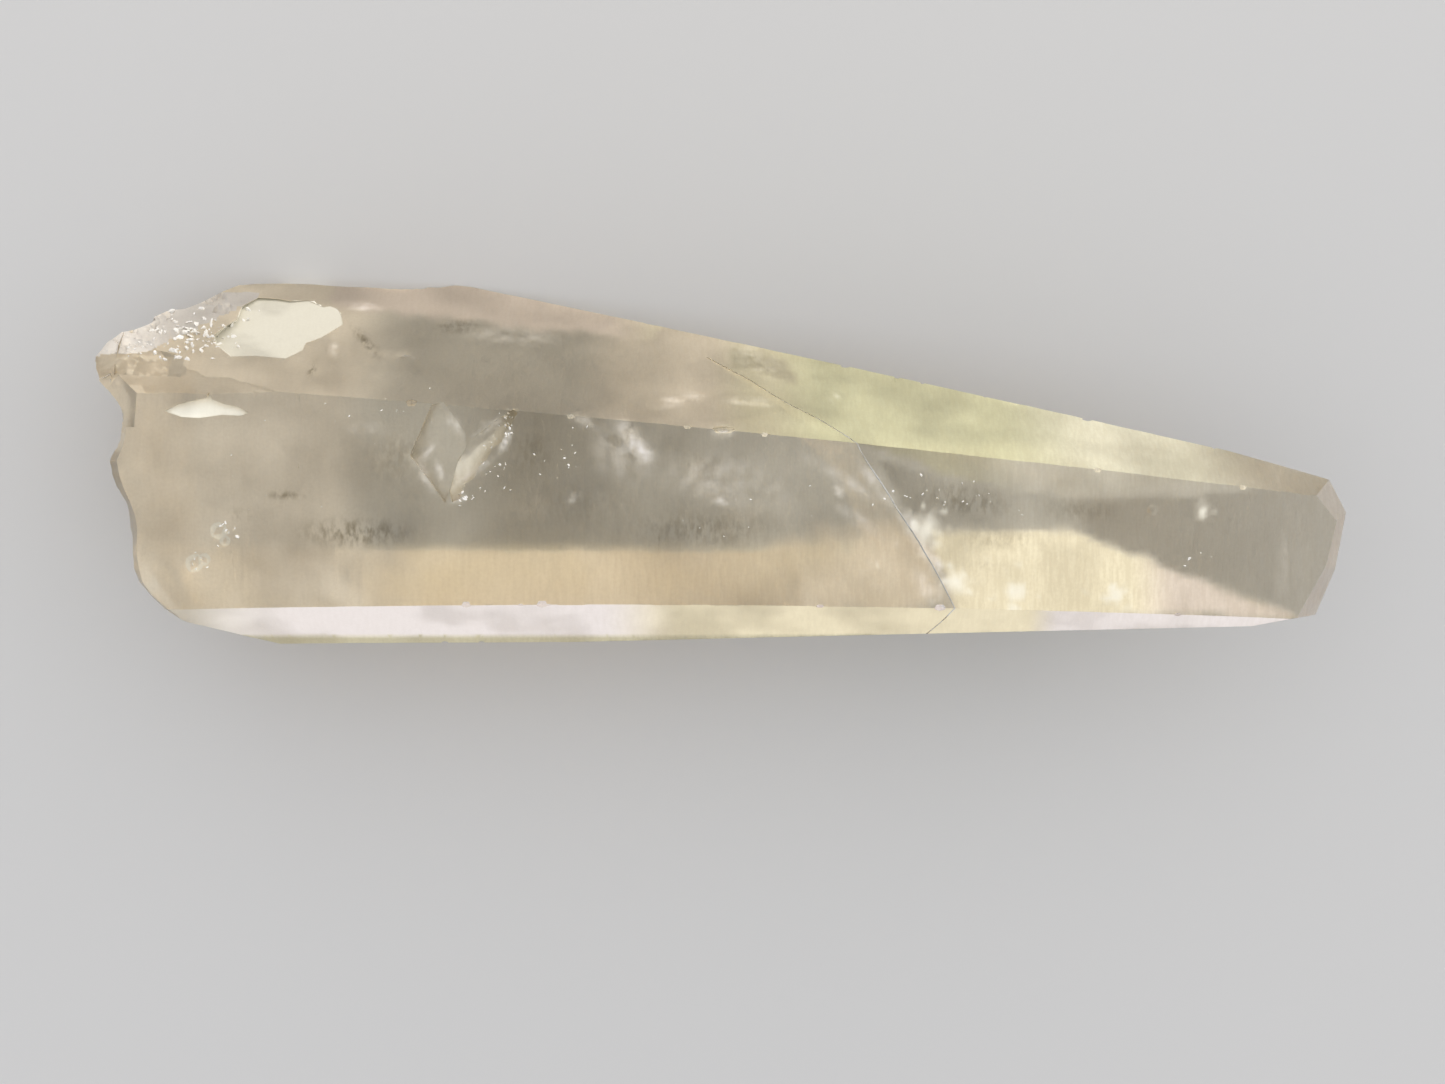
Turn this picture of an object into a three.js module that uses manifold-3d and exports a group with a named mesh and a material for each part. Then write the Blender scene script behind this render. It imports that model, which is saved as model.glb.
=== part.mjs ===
// Lemurian quartz: one tapered crystal with a broken base, lying on a prism face.
// Millimetres. X runs from the broken base to the tip, Y across, and Z up from the face it lies on.
import * as THREE from "three";
import { mergeVertices } from "three/addons/utils/BufferGeometryUtils.js";
import Module from "manifold-3d";

const rad = THREE.MathUtils.degToRad;

// Driving dimensions of the prism
const THICKNESS = 26; // between the broad top face and the face it lies on
const BLANK_FROM = -76; // the uncut prism runs past the broken base
const BLANK_TO = 74; // and past the tip
const LEAST_FACE = 0.5; // narrowest that a prism face gets where its neighbours close in on it

// The lengthwise edges of the prism seen in plan, y as a function of x: they taper and bow a little.
const edge = {
  topBack: (x) => 3.45 - 0.0965 * x - 0.00022 * x * x,
  topFront: (x) => -16.05 - 0.00025 * (x + 15) ** 2,
  bottomBack: (x) => 10.5 - 0.352 * x,
  bottomFront: (x) => -9.75 + 0.056 * Math.max(x, 0),
};

// Growth steps, the fine ledges across every prism face but the one it lies on
const STEP_SPACING = [0.9, 3.6]; // nearest and furthest apart
const STEP_HEIGHT = [0.012, 0.05]; // lowest and highest
const STEP_RUN = 0.4; // length of a riser
const STEP_CHANCE = 0.6; // how likely a face is to step at a riser
const STEP_SEED = 7;

// Tip: one large face from below, a narrow rim and small corner faces
const TIP_FACE = { at: [39.8, 0, 0], slope: rad(38.2) }; // quartz: rhombohedron to prism face
const TIP_RIM = { at: [69.6, -6, 24.2], normal: [0.87, -0.21, 0.44] };
const TIP_CORNERS = [
  { at: [67.4, -3.7, 24.6], normal: [0.62, 0.5, 0.6] },
  { at: [62.5, -0.67, 24], normal: [0.262, 0.965, 0.1] },
  { at: [66.9, -14.4, 24], normal: [0.76, -0.42, 0.42] },
  { at: [65.6, -17.7, 23.6], normal: [0.42, -0.82, 0.3] },
  { at: [62.2, -18.04, 22], normal: [0.18, -0.98, 0.05] },
];

// A narrow face that takes off the sharp edge along the front
const FRONT_TRIM = { at: [0, -19.95, 13], normal: [0.025, -1, 0] };

// The broken base: x of the break against y seen from above, and how far it draws back against z
const BREAK_OUTLINE = [
  [-21.5, -47.5], [-20.4, -50], [-19.6, -54], [-18.6, -58.4], [-17.4, -61], [-16, -63],
  [-13.8, -65.2], [-11.5, -66.2], [-9.3, -66.1], [-4.9, -66.5], [-2.7, -67.4], [-0.4, -67.9],
  [1.8, -67.3], [4, -67], [6.3, -67.4], [8.6, -69.9], [9.8, -71], [12, -71.2], [13.3, -70.4],
  [15.4, -68.6], [17.6, -65.4], [19.5, -62.4], [22, -59.5],
];
const BREAK_DRAW_BACK = [[0, 6], [5, 3.6], [11, 1.4], [18, 0], [24, 0], [26, 0.9]];
const BREAK_RELIEF = [[6, 0.55], [2.4, 0.4]]; // size and height of its lumps
const BREAK_SIZE = [THICKNESS + 8, 60]; // height and width of the cut, past the crystal all round
const BREAK_CELL = 1.5; // spacing of the points that shape it

// The broken side along the back near the base: y of the break against x
const SIDE_OUTLINE = [
  [-76, 11], [-69, 14], [-67.4, 15.8], [-65.6, 17.2], [-62, 17.8], [-60, 18.8], [-58.2, 19.8],
  [-56.4, 20.8], [-54.5, 21.1], [-50.8, 21.1], [-46, 20.9], [-37, 20.7], [-32, 20.9], [-24, 23],
];
const SIDE_MIDDLE = -50; // x of the middle of the cut
const SIDE_SIZE = [56, THICKNESS + 8]; // its length and height
const SIDE_RELIEF = [[4, 0.18], [1.8, 0.12]];
const SIDE_CELL = 1.8;

// The bruised edge between the top face and the back: a rough bevel
const BEVEL = { at: [-50, 7.7, THICKNESS], normal: [0, 0.77, 0.64], size: [46, 14] };
const BEVEL_RELIEF = [[7, 0.35], [2.2, 0.12]];
const BEVEL_CELL = 1.4;

// Crumbled corner where base, back and top meet, and the flat faces cut across it
const CRUMBLE = { at: [-61, 15.2, 16.8], normal: [-0.12, 0.74, 0.66], size: [14, 18] };
const CRUMBLE_RELIEF = [[2.6, 0.75], [1.1, 0.45]];
const CRUMBLE_CELL = 0.8;
const CORNER_FACES = [
  { at: [-67.6, 12.6, 19.5], normal: [-0.5, 0.52, 0.69], width: 8 },
  { at: [-67, 8.2, 24], normal: [-0.69, 0.05, 0.72], width: 9 },
];

// Shell-shaped scoops of the broken base and of the side beside it, with their ripples
const SCOOPS = [
  { at: [-67.3, -6, 13], normal: [-0.95, -0.1, 0.05], radius: 7.5, depth: 1.9 },
  { at: [-64.5, 5, 8], normal: [-0.9, 0.1, -0.35], radius: 6.5, depth: 1.5 },
  { at: [-62.5, -13.5, 15], normal: [-0.8, -0.55, -0.1], radius: 5.5, depth: 1.3 },
  { at: [-67.9, 3.2, 21], normal: [-0.97, 0.1, 0.2], radius: 4, depth: 0.8 },
  { at: [-66.4, 11.2, 11.5], normal: [-0.9, 0.3, -0.2], radius: 4.2, depth: 1 },
  { at: [-67.4, 14.3, 12.5], normal: [-0.6, 0.76, -0.25], radius: 3.4, depth: 0.8 },
  { at: [-40, 20.9, 1], normal: [0.05, 0.9, -0.3], radius: 5.5, depth: 0.6 },
];
const SCOOP_SIDES = 24;
const RIPPLE = { pitch: 1.1, height: 0.13 };

// Flat-floored pits: outline seen from above and the plane of the floor
const PITS = [
  { // pale chip on the back
    outline: [
      [-57.8, 14.4], [-56.9, 15.5], [-55.7, 16.5], [-55.4, 18.2], [-53.8, 19.3], [-51.7, 19.2],
      [-50, 18.9], [-47.9, 19], [-46.1, 18.2], [-44.8, 18.4], [-43.9, 17.2], [-43.5, 16],
      [-44.5, 15.2], [-45.7, 14.3], [-47.3, 13.6], [-47.5, 12.7], [-49.2, 11.7], [-52.6, 12],
      [-55.4, 11.9], [-56.7, 12.9], [-57.4, 13.4],
    ],
    floor: { at: [-50, 19.3, 5.7], normal: [0.022, 0.834, 0.551] },
  },
  { // pale chip at the edge of the top face
    outline: [
      [-61.9, 5.5], [-60.4, 6.3], [-58.9, 6.7], [-57.4, 7], [-57, 7.6], [-56.6, 6.8],
      [-55.3, 6.3], [-53.8, 6], [-52.5, 5.3], [-53.5, 5], [-55.5, 5.1], [-58, 4.75], [-60, 4.85],
    ],
    floor: { at: [-57, 4.75, 25.9], normal: [0.02, 0.338, 0.941] },
  },
  { // print of a neighbouring crystal, broad side
    outline: [
      [-34.6, 0.6], [-33.6, 2.9], [-32.2, 6.2], [-30.9, 6.6], [-27.9, 2.3], [-29.3, -0.2],
      [-30.2, -3.3], [-30.7, -4.7], [-32.4, -2.2],
    ],
    floor: { at: [-28.2, 0.8, THICKNESS], normal: [-0.21, -0.02, 0.977] },
  },
  { // print of a neighbouring crystal, narrow side
    outline: [
      [-29.9, -4.6], [-30.2, -3.3], [-29.3, -0.2], [-27.9, 2.3], [-25.7, 4], [-23.2, 5.7],
      [-22.6, 5.4], [-23.2, 4.2], [-24, 3.3], [-24.4, 2.1], [-25.5, 1.3], [-26, 0.2],
      [-27, -0.7], [-27.4, -1.9], [-28.4, -2.5], [-29.1, -4.3],
    ],
    floor: { at: [-27.9, 2.3, THICKNESS], normal: [0.387, -0.282, 0.878] },
  },
];
const PIT_DEPTH = 24; // further than any pit reaches down
const PIT_START = 1; // a pit's column begins this far above the top face

// Small chips on the top face, seen from above, and how deep they are
const CHIPS = [
  { at: [-55.9, -7.8], radius: 1.1, depth: 0.3 },
  { at: [-55.2, -8.9], radius: 0.7, depth: 0.22 },
  { at: [-58.6, -11.4], radius: 1.2, depth: 0.3 },
  { at: [-57.5, -11], radius: 0.8, depth: 0.25 },
  { at: [-46.3, -3.7], radius: 1, depth: 0.12 },
  { at: [48, -5.5], radius: 0.7, depth: 0.2 },
];
const CHIP_DETAIL = 2; // facets of the round tool that bites them: few, so that a chip is angular

// Nicks along the long edges: chance places, sizes from least to most
const NICK_COUNT = 26;
const NICK_SEED = 31;
const NICK_RADIUS = [0.25, 0.75];
const NICK_FLATTEN = [0.4, 0.9]; // width across the edge as a share of the length
const NICK_RANGE = [-46, 62];
const LONG_NICK = { at: [0.3, 3.5, 25.9], radius: 1.5, flatten: 0.35 }; // beside the top back edge

// The crack that runs down into the crystal from the top face and the back: a narrow gap with wavy
// walls. Its outline is in its own plane, along its line on the top face and down from it.
const CRACK = {
  at: [15.9, 2, THICKNESS],
  along: [0.468, -0.884, 0],
  normal: [0.705, 0.374, -0.601],
  outline: [
    [-25, 12], [-2, -3], [23, -3], [25, 9], [21, 8.6], [18, 7], [13.5, 5.8], [8, 7.4], [3, 6.6],
    [-2, 8.6], [-7, 11.4], [-12, 15.6], [-17, 18.4], [-23, 20],
  ],
};
const CRACK_GAP = 0.12;
const CRACK_RELIEF = [[8, 0.6], [3, 0.16]];
const CRACK_SIZE = [52, 46]; // its sheet, past the crystal all round
const CRACK_CELL = 1.5;
const CRACK_REACH = 3; // further than its walls wave out of its plane

const CUT = 120; // thickness of the blocks that cut the prism
const SMALLEST_EDGE = 0.01; // slivers left by the cuts are joined up to this size
const LOOK = { color: 0xb5ab93, roughness: 0.25, metalness: 0 }; // smoky clear quartz

// Six prism faces, 60 degrees apart, numbered round the section from the top towards the back.
const FACES = 6;
const FACE_TURN = rad(360 / FACES);
const [TOP, BACK_UPPER, BACK_LOWER, REST, FRONT_LOWER, FRONT_UPPER] = [0, 1, 2, 3, 4, 5];

const wasm = await Module();
wasm.setup();

// ---- numbers ----

// Multiplier, increment and modulus of the usual linear congruential generator
const LCG = { times: 1664525, plus: 1013904223, modulus: 2 ** 32 };

// A seeded random number from 0 to 1, so that every run gives the same crystal.
function seeded(seed) {
  let state = seed;
  return () => {
    state = (state * LCG.times + LCG.plus) % LCG.modulus;
    return state / LCG.modulus;
  };
}

const between = (random, [low, high]) => low + (high - low) * random();

// y at x in a table of [x, y] rows, in straight lines between the rows.
function lookUp(rows, x) {
  const after = rows.findIndex(([rowX]) => x <= rowX);
  if (after <= 0) return rows.at(after)[1];
  const [x0, y0] = rows[after - 1];
  const [x1, y1] = rows[after];
  return THREE.MathUtils.mapLinear(x, x0, x1, y0, y1);
}

// Large odd factors that scramble a lattice point's place into a chance number
const SCRAMBLE = { along: new THREE.Vector3(127.1, 311.7, 74.7), times: 43758.5453 };

// Random height from -1 to 1 of a lattice point.
function latticeHeight(point) {
  const mixed = Math.sin(point.dot(SCRAMBLE.along)) * SCRAMBLE.times;
  return (mixed - Math.floor(mixed)) * 2 - 1;
}

// Lumps of about the given size, from -1 to 1: lattice heights blended in straight lines.
function lumps(point, size) {
  const p = point.clone().divideScalar(size);
  const base = p.clone().floor();
  const part = p.sub(base);
  let height = 0;
  for (const [i, j, k] of CUBE_CORNERS) {
    const weight =
      (i ? part.x : 1 - part.x) * (j ? part.y : 1 - part.y) * (k ? part.z : 1 - part.z);
    height += weight * latticeHeight(new THREE.Vector3(i, j, k).add(base));
  }
  return height;
}

const CUBE_CORNERS = [0, 1, 2, 3, 4, 5, 6, 7].map((n) => [n & 1, (n >> 1) & 1, n >> 2]);

// ---- solids ----

function solidOf(geometry) {
  const bare = geometry.index ? geometry.toNonIndexed() : geometry.clone();
  bare.deleteAttribute("normal");
  bare.deleteAttribute("uv");
  const merged = mergeVertices(bare, 1e-4);
  return new wasm.Manifold(new wasm.Mesh({
    numProp: 3,
    vertProperties: merged.attributes.position.array,
    triVerts: new Uint32Array(merged.index.array),
  }));
}

function geometryOf(solid) {
  const mesh = solid.getMesh();
  return new THREE.BufferGeometry()
    .setAttribute("position", new THREE.BufferAttribute(mesh.vertProperties, 3))
    .setIndex(new THREE.BufferAttribute(mesh.triVerts, 1));
}

const turnTo = (normal) => new THREE.Quaternion().setFromUnitVectors(
  new THREE.Vector3(0, 0, 1),
  new THREE.Vector3(...normal).normalize(),
);

// ---- the prism with its growth steps ----

// Outward direction of a face in the section, as (y, z).
const faceNormal = (face) => new THREE.Vector2(
  Math.sin(face * FACE_TURN),
  Math.cos(face * FACE_TURN),
);

const through = (face, y, z) => faceNormal(face).dot(new THREE.Vector2(y, z));

// Where two faces at these distances from the axis cross in the section.
function crossing(face, other, distances) {
  const a = faceNormal(face);
  const b = faceNormal(other);
  const det = a.cross(b);
  return new THREE.Vector2(
    (distances[face] * b.y - distances[other] * a.y) / det,
    (a.x * distances[other] - b.x * distances[face]) / det,
  );
}

// Moves a face in until the faces beside it leave it the least width.
function keepWidth(face, distances) {
  const meeting = crossing(face - 1, face + 1, distances);
  const inset = (LEAST_FACE / 2) * Math.tan(FACE_TURN / 2);
  distances[face] = Math.min(distances[face], through(face, meeting.x, meeting.y) - inset);
}

// Distance of each face from the axis at x, from the four edges, less its growth step.
function faceDistances(x, steps) {
  const distances = [
    THICKNESS,
    through(BACK_UPPER, edge.topBack(x), THICKNESS),
    through(BACK_LOWER, edge.bottomBack(x), 0),
    0,
    through(FRONT_LOWER, edge.bottomFront(x), 0),
    through(FRONT_UPPER, edge.topFront(x), THICKNESS),
  ].map((distance, face) => distance - steps[face]);
  keepWidth(BACK_LOWER, distances);
  keepWidth(REST, distances);
  return distances;
}

// A face that has stepped in comes back out at a later riser, so the ledges stay shallow.
function nextStep(depth, face, random) {
  if (face === REST || random() > STEP_CHANCE) return face === REST ? 0 : depth;
  return depth > 0 ? 0 : between(random, STEP_HEIGHT);
}

// Sections along x, two to a riser, with how far in each face is there.
function sections() {
  const random = seeded(STEP_SEED);
  let steps = new Array(FACES).fill(0);
  const list = [{ x: BLANK_FROM, steps }];
  let x = BLANK_FROM + STEP_SPACING[0];
  while (x < BLANK_TO - STEP_SPACING[1]) {
    list.push({ x, steps });
    steps = steps.map((depth, face) => nextStep(depth, face, random));
    list.push({ x: x + STEP_RUN, steps });
    x += STEP_RUN + between(random, STEP_SPACING);
  }
  list.push({ x: BLANK_TO, steps });
  return list;
}

// A six-sided cylinder whose rings are moved to the corners of the sections.
function prism() {
  const list = sections();
  const rings = list.map(({ x, steps }) => {
    const distances = faceDistances(x, steps);
    return distances.map((_, face) => crossing(face, (face + 1) % FACES, distances));
  });
  const blank = new THREE.CylinderGeometry(1, 1, 1, FACES, list.length - 1).toNonIndexed();
  const position = blank.attributes.position;
  for (let i = 0; i < position.count; i++) {
    const [across, along, up] = [position.getX(i), position.getY(i), position.getZ(i)];
    const ring = Math.round((0.5 - along) * (list.length - 1));
    const turn = Math.round(Math.atan2(across, up) / FACE_TURN + FACES) % FACES;
    const middle = rings[ring].reduce((sum, c) => sum.add(c), new THREE.Vector2());
    const onAxis = Math.hypot(across, up) < 0.5;
    const at = onAxis ? middle.divideScalar(FACES) : rings[ring][turn];
    position.setXYZ(i, list[ring].x, at.x, at.y);
  }
  return solidOf(blank);
}

// ---- cuts ----

// A block that takes away the outer side of a plane.
function planeCut({ at, normal, width = 2 * CUT }) {
  const block = new THREE.BoxGeometry(width, width, CUT).translate(0, 0, CUT / 2);
  return solidOf(block.applyQuaternion(turnTo(normal)).translate(...at));
}

// The same with an uneven face: each of its points moves out along the normal by offset(point).
function roughCut({ at, normal, size: [wide, high], cell, offset }) {
  const counts = [wide, high].map((length) => Math.round(length / cell));
  const block = new THREE.BoxGeometry(wide, high, CUT, ...counts, 1).translate(0, 0, CUT / 2);
  const turn = turnTo(normal);
  const outward = new THREE.Vector3(0, 0, 1).applyQuaternion(turn);
  const position = block.attributes.position;
  const point = new THREE.Vector3();
  for (let i = 0; i < position.count; i++) {
    const onFace = position.getZ(i) < CUT / 2;
    point.fromBufferAttribute(position, i).applyQuaternion(turn).add(new THREE.Vector3(...at));
    if (onFace) point.addScaledVector(outward, offset(point));
    position.setXYZ(i, ...point);
  }
  return solidOf(block);
}

const relief = (point, layers) =>
  layers.reduce((sum, [size, height]) => sum + height * lumps(point, size), 0);

function baseBreak() {
  return roughCut({
    at: [0, 0, THICKNESS / 2],
    normal: [-1, 0, 0],
    size: BREAK_SIZE,
    cell: BREAK_CELL,
    offset: (p) =>
      -lookUp(BREAK_OUTLINE, p.y) - lookUp(BREAK_DRAW_BACK, p.z) + relief(p, BREAK_RELIEF),
  });
}

function sideBreak() {
  return roughCut({
    at: [SIDE_MIDDLE, 0, THICKNESS / 2],
    normal: [0, 1, 0],
    size: SIDE_SIZE,
    cell: SIDE_CELL,
    offset: (p) => lookUp(SIDE_OUTLINE, p.x) + relief(p, SIDE_RELIEF),
  });
}

function bevel() {
  return roughCut({
    ...BEVEL,
    cell: BEVEL_CELL,
    offset: (p) => relief(p, BEVEL_RELIEF),
  });
}

function crumble() {
  return roughCut({
    ...CRUMBLE,
    cell: CRUMBLE_CELL,
    offset: (p) => relief(p, CRUMBLE_RELIEF),
  });
}

// A shallow shell-shaped bowl with rings, as broken quartz has.
function scoop({ at, normal, radius, depth }) {
  const rings = Math.round((2 * radius) / RIPPLE.pitch);
  const bowl = Array.from({ length: rings + 1 }, (_, i) => {
    const share = i / rings;
    const ripple = i % 2 ? RIPPLE.height * share : 0;
    return new THREE.Vector2(radius * share, depth * (share * share - 1) - ripple);
  });
  const lid = [new THREE.Vector2(radius, radius), new THREE.Vector2(0, radius)];
  const lathe = new THREE.LatheGeometry([...bowl, ...lid], SCOOP_SIDES).rotateX(Math.PI / 2);
  return solidOf(lathe.applyQuaternion(turnTo(normal)).translate(...at));
}

// A pit with upright walls and a sloping floor.
function pit({ outline, floor }) {
  const shape = new THREE.Shape(outline.map(([x, y]) => new THREE.Vector2(x, y)));
  const column = new THREE.ExtrudeGeometry(shape, { depth: PIT_DEPTH, bevelEnabled: false });
  const normal = new THREE.Vector3(...floor.normal).normalize();
  const height = normal.dot(new THREE.Vector3(...floor.at));
  const lowest = THICKNESS + PIT_START - PIT_DEPTH;
  return solidOf(column.translate(0, 0, lowest)).trimByPlane([...normal], height);
}

// A wavy sheet, kept inside its outline.
function crack({ at, along, normal, outline }) {
  const across = new THREE.Vector3(...normal).normalize();
  const line = new THREE.Vector3(...along).normalize();
  const lie = new THREE.Matrix4()
    .makeBasis(line, across.clone().cross(line), across)
    .setPosition(...at);
  const counts = CRACK_SIZE.map((length) => Math.round(length / CRACK_CELL));
  const sheet = new THREE.BoxGeometry(...CRACK_SIZE, CRACK_GAP, ...counts, 1);
  const position = sheet.attributes.position;
  for (let i = 0; i < position.count; i++) {
    const flat = new THREE.Vector3(position.getX(i), position.getY(i), 0);
    position.setZ(i, position.getZ(i) + relief(flat, CRACK_RELIEF));
  }
  const shape = new THREE.Shape(outline.map(([x, y]) => new THREE.Vector2(x, y)));
  const limit = new THREE.ExtrudeGeometry(shape, { depth: 2 * CRACK_REACH, bevelEnabled: false });
  return solidOf(sheet.applyMatrix4(lie))
    .intersect(solidOf(limit.translate(0, 0, -CRACK_REACH).applyMatrix4(lie)));
}

// A faceted ball that dips into the top face by the depth.
function chip({ at: [x, y], radius, depth }) {
  const round = (radius * radius + depth * depth) / (2 * depth);
  const ball = new THREE.IcosahedronGeometry(round, CHIP_DETAIL);
  return solidOf(ball.rotateZ(x).translate(x, y, THICKNESS + round - depth));
}

function nick({ at, radius, flatten }) {
  const lump = new THREE.IcosahedronGeometry(radius).scale(1, flatten, 1);
  return solidOf(lump.translate(...at));
}

// Where the four long edges that show are at x, as [x, y, z].
function longEdges(x) {
  const distances = faceDistances(x, new Array(FACES).fill(0));
  return [[FRONT_UPPER, TOP], [TOP, BACK_UPPER], [BACK_UPPER, BACK_LOWER], [FRONT_LOWER, FRONT_UPPER]]
    .map(([face, other]) => [x, ...crossing(face, other, distances)]);
}

function nicks() {
  const random = seeded(NICK_SEED);
  return Array.from({ length: NICK_COUNT }, (_, i) => nick({
    at: longEdges(between(random, NICK_RANGE))[i % 4],
    radius: between(random, NICK_RADIUS),
    flatten: between(random, NICK_FLATTEN),
  }));
}

function tipCuts() {
  const { at, slope } = TIP_FACE;
  const under = { at, normal: [Math.sin(slope), 0, -Math.cos(slope)] };
  return [under, TIP_RIM, ...TIP_CORNERS, FRONT_TRIM].map(planeCut);
}

// The largest body: splinters that the breaks cut free are gone.
function withoutSplinters(solid) {
  return solid.decompose().reduce((most, body) => (body.volume() > most.volume() ? body : most));
}

// Moved so that the origin is under the middle of the crystal.
function centred(solid) {
  const { min, max } = solid.boundingBox();
  return solid.translate([-(min[0] + max[0]) / 2, -(min[1] + max[1]) / 2, 0]);
}

const crystal = centred(withoutSplinters(prism()
  .subtract(wasm.Manifold.union([
    ...tipCuts(),
    baseBreak(),
    sideBreak(),
    bevel(),
    crumble(),
    ...CORNER_FACES.map(planeCut),
    ...SCOOPS.map(scoop),
    ...PITS.map(pit),
    ...CHIPS.map(chip),
    crack(CRACK),
    ...nicks(),
    nick(LONG_NICK),
  ]))
  .simplify(SMALLEST_EDGE)));
const group = new THREE.Group();
const quartz = new THREE.Mesh(geometryOf(crystal), new THREE.MeshStandardMaterial(LOOK));
quartz.name = "crystal";
group.add(quartz);
export default group;
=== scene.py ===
"""A lemurian quartz crystal with its cracks, veils and chips, lying on a pale studio floor."""
import math
import random

import bpy
from mathutils import Matrix, Vector, noise


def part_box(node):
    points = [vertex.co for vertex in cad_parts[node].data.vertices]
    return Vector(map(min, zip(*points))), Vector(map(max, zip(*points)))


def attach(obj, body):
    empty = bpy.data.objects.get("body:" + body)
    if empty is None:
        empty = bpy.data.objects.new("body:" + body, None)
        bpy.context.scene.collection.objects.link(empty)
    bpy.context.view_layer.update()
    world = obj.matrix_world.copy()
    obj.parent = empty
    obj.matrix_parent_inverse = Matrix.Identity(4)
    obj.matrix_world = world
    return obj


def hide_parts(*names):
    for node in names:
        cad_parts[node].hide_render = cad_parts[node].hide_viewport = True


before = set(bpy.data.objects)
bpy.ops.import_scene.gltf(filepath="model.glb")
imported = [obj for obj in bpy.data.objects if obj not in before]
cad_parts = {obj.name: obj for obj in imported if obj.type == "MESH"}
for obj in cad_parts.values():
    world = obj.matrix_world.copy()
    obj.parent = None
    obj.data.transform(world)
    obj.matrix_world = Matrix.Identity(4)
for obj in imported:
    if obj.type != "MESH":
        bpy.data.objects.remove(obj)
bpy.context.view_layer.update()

MM = 0.001
THICKNESS = 26.0  # mm, from the face it lies on to the top face
# From the crystal's own drawing to the frame, in mm. What is given "as drawn" has its place in the drawing.
TO_FRAME = Vector((0.475, -0.319, 0))
DOUBLES = 0.001 * MM  # points closer than this are one


# ---- colour and nodes ----


def linear(code, alpha=1.0):
    """An sRGB hex colour as linear red, green, blue and alpha."""
    parts = [int(code[i : i + 2], 16) / 255 for i in (1, 3, 5)]
    return [c / 12.92 if c <= 0.04045 else ((c + 0.055) / 1.055) ** 2.4 for c in parts] + [alpha]


def node(tree, kind, links=None, out=0, **settings):
    """Adds a node and gives one of its outputs, the first unless out says another. Links hold a value or
    another node's output for each input, and settings are the node's own values."""
    made = tree.nodes.new(kind)
    for name, value in settings.items():
        setattr(made, name, value)
    for key, value in (links or {}).items():
        socket = made.inputs[key]
        if isinstance(value, bpy.types.NodeSocket):
            tree.links.new(value, socket)
        else:
            socket.default_value = value
    return made.outputs[out]


def new_material(name):
    """A material's tree and its shader."""
    material = bpy.data.materials.new(name)
    material.use_nodes = True
    return material, material.node_tree, material.node_tree.nodes["Principled BSDF"]


# ---- edit mode ----


def select_only(piece):
    """Selects a piece and nothing else."""
    bpy.ops.object.select_all(action="DESELECT")
    piece.select_set(True)
    bpy.context.view_layer.objects.active = piece


def begin_edit(piece):
    """Opens a piece in edit mode, selected all over."""
    select_only(piece)
    bpy.ops.object.mode_set(mode="EDIT")
    bpy.ops.mesh.select_all(action="SELECT")


def end_edit():
    bpy.ops.object.mode_set(mode="OBJECT")


def cut_rows(axis, places):
    """Cuts everything that shows across one axis at each place, and keeps both sides joined."""
    normal = [float(i == axis) for i in range(3)]
    for place in places:
        bpy.ops.mesh.select_all(action="SELECT")
        bpy.ops.mesh.bisect(plane_co=[place * n for n in normal], plane_no=normal)


def rows(low, high, pitch):
    """Places from low to high, evenly spaced at about the pitch."""
    count = max(1, round((high - low) / pitch))
    return [low + (high - low) * i / count for i in range(1, count)]


def chance_rows(low, high, pitches, chance):
    """Places from low to high with spacings drawn between two pitches."""
    places = []
    place = low + chance.uniform(*pitches)
    while place < high:
        places.append(place)
        place += chance.uniform(*pitches)
    return places


def copy_of_crystal(name):
    """A copy of the frame's solid as a new object, its loose triangles joined, open in edit mode."""
    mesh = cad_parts["crystal"].data.copy()
    mesh.name = name
    mesh.materials.clear()
    piece = bpy.data.objects.new(name, mesh)
    bpy.context.collection.objects.link(piece)
    begin_edit(piece)
    bpy.ops.mesh.remove_doubles(threshold=DOUBLES)
    return piece


def place_piece(piece, material):
    """Gives a finished piece its material and its place in the frame."""
    piece.data.materials.clear()
    piece.data.materials.append(material)
    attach(piece, "root")


# ---- studio ----

CAMERA_PLACE = (0.65 * MM, -9.37 * MM, 472.6 * MM)
CAMERA_LENS = 100
CAMERA_SENSOR = 36
CAMERA_NEAR = 0.01

FLOOR_SIZE = 4
FLOOR_GAP = 0.1 * MM  # the floor lies this far under the crystal, so that the two faces don't coincide
FLOOR_GREY = "#CCCCCD"
FLOOR_ROUGHNESS = 0.9
FLOOR_SHINE = 0.1

TENT_WHITE = "#FFFFFF"
# The warm lamp: its place, what it aims at and its size in metres, its power in watts and its colour.
WARM_LAMP = ((0.03, 0.3, 0.04), (0.03, 0, 0.005), (0.5, 0.07), 0.45, "#FFF0D8")


def add_camera():
    """Looks straight down on the crystal, as it is laid out on a table."""
    data = bpy.data.cameras.new("camera")
    data.lens = CAMERA_LENS
    data.sensor_width = CAMERA_SENSOR
    data.clip_start = CAMERA_NEAR
    camera = bpy.data.objects.new("camera", data)
    camera.location = CAMERA_PLACE
    bpy.context.collection.objects.link(camera)
    bpy.context.scene.camera = camera


def add_light(name, place, aim, size, power, colour):
    """A soft oblong lamp, turned to its aim."""
    data = bpy.data.lights.new(name, "AREA")
    data.shape = "RECTANGLE"
    data.size, data.size_y = size
    data.energy = power
    data.color = linear(colour)[:3]
    light = bpy.data.objects.new(name, data)
    light.location = place
    light.rotation_euler = (Vector(aim) - Vector(place)).to_track_quat("-Z", "Y").to_euler()
    bpy.context.collection.objects.link(light)


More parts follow.
